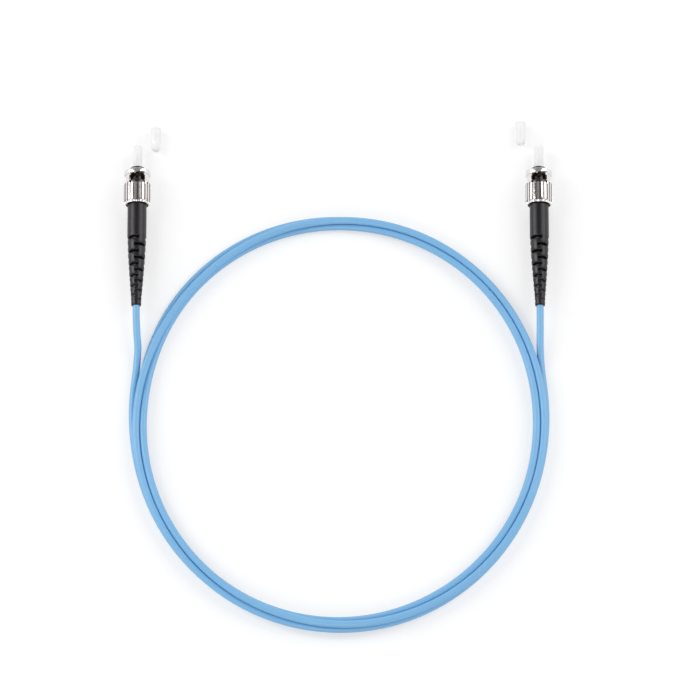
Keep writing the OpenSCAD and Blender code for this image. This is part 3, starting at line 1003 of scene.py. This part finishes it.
@dataclass
class Studio:
    """The white ground, the light and the camera."""

    elevation_deg: float = 70.0
    distance: float = 2.5
    frame_width: float = 0.225
    sensor: float = 36.0
    aim: tuple[float, float, float] = (-0.000207, -0.04292, 0.0)
    floor_size: float = 6.0

    def camera(self) -> None:
        """Look down on the cord from behind its plugs' boots."""
        data = bpy.data.cameras.new("view")
        data.sensor_width = self.sensor
        data.lens = self.sensor * self.distance / self.frame_width
        data.clip_end = 20.0
        eye = bpy.data.objects.new("view", data)
        a = math.radians(self.elevation_deg)
        eye.location = Vector(self.aim) + Vector((0, -math.cos(a), math.sin(a))) * self.distance
        eye.rotation_euler = (math.pi / 2 - a, 0, 0)
        bpy.context.scene.collection.objects.link(eye)
        bpy.context.scene.camera = eye

    def floor(self) -> None:
        """A white ground that keeps soft shadows."""
        half = self.floor_size / 2
        mesh = bpy.data.meshes.new("ground")
        corners = [(-half, -half, 0), (half, -half, 0), (half, half, 0), (-half, half, 0)]
        mesh.from_pydata([(x, y, z - 0.00002) for x, y, z in corners], [], [(0, 1, 2, 3)])
        ground = bpy.data.objects.new("ground", mesh)
        bpy.context.scene.collection.objects.link(ground)
        mat = bpy.data.materials.new("white_ground")
        mat.use_nodes = True
        nodes, links = mat.node_tree.nodes, mat.node_tree.links
        shader = nodes["Principled BSDF"]
        shader.inputs["Base Color"].default_value = (0.55, 0.55, 0.55, 1)
        shader.inputs["Roughness"].default_value = 0.9
        shader.inputs["Specular IOR Level"].default_value = 0.0
        shader.inputs["Emission Color"].default_value = (1, 1, 1, 1)
        path, seen, any_of, lift = (nodes.new("ShaderNodeLightPath"), nodes.new("ShaderNodeMath"),
                                    nodes.new("ShaderNodeMath"), nodes.new("ShaderNodeMath"))
        seen.operation, any_of.operation, lift.operation = "MAXIMUM", "MAXIMUM", "MULTIPLY"
        lift.inputs[1].default_value = 0.5
        links.new(path.outputs["Is Camera Ray"], seen.inputs[0])
        links.new(path.outputs["Is Glossy Ray"], seen.inputs[1])
        links.new(seen.outputs["Value"], any_of.inputs[0])
        links.new(path.outputs["Is Transmission Ray"], any_of.inputs[1])
        links.new(any_of.outputs["Value"], lift.inputs[0])
        links.new(lift.outputs["Value"], shader.inputs["Emission Strength"])
        mesh.materials.append(mat)

    def surroundings(self) -> None:
        """A pale room with a darker ceiling, which the metal mirrors."""
        world = bpy.data.worlds.new("pale_room")
        world.use_nodes = True
        nodes, links = world.node_tree.nodes, world.node_tree.links
        back = nodes["Background"]
        coords, split, ramp = (nodes.new("ShaderNodeTexCoord"), nodes.new("ShaderNodeSeparateXYZ"),
                               nodes.new("ShaderNodeValToRGB"))
        links.new(coords.outputs["Generated"], split.inputs["Vector"])
        links.new(split.outputs["Z"], ramp.inputs["Fac"])
        ramp.color_ramp.elements[0].position = 0.1
        ramp.color_ramp.elements[0].color = (1.1, 1.1, 1.1, 1)
        ramp.color_ramp.elements[1].position = 0.85
        ramp.color_ramp.elements[1].color = (0.3, 0.3, 0.305, 1)
        path, mix = nodes.new("ShaderNodeLightPath"), nodes.new("ShaderNodeMix")
        mix.data_type = "RGBA"
        mix.inputs["B"].default_value = (1, 1, 1, 1)
        links.new(path.outputs["Is Camera Ray"], mix.inputs["Factor"])
        links.new(ramp.outputs["Color"], mix.inputs["A"])
        links.new(mix.outputs["Result"], back.inputs["Color"])
        bpy.context.scene.world = world

    def lamp(self, name: str, towards: Vector, distance: float, size: Point2, power: float) -> None:
        """Hang a soft box, facing the middle of the cord."""
        data = bpy.data.lights.new(name, "AREA")
        data.shape, data.size, data.size_y, data.energy = "RECTANGLE", size[0], size[1], power
        box = bpy.data.objects.new(name, data)
        way = towards.normalized()
        box.location = Vector(self.aim) + way * distance
        box.rotation_euler = way.to_track_quat("Z", "Y").to_euler()
        bpy.context.scene.collection.objects.link(box)

    def build(self) -> None:
        """Set the view and light the ground."""
        self.camera()
        self.floor()
        self.surroundings()
        self.lamp("box_left", Vector((-0.80, 0.25, 0.60)), 1.6, (0.5, 1.2), 9.5)
        self.lamp("box_right", Vector((0.70, 0.30, 0.62)), 1.6, (0.9, 1.3), 8.5)
        self.lamp("box_near", Vector((-0.06, -0.80, 0.62)), 1.6, (0.3, 0.6), 4.0)
        bpy.context.scene.view_settings.view_transform = "Standard"


def main() -> None:
    """Build the setting, the cord and both plugs in order."""
    logging.basicConfig(level=logging.INFO, format="%(message)s")
    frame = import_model()
    Studio().build()
    WoundCord().build()
    for side in Side:
        Plug().build(side, frame["nodes"])


if __name__ == "__main__":
    main()
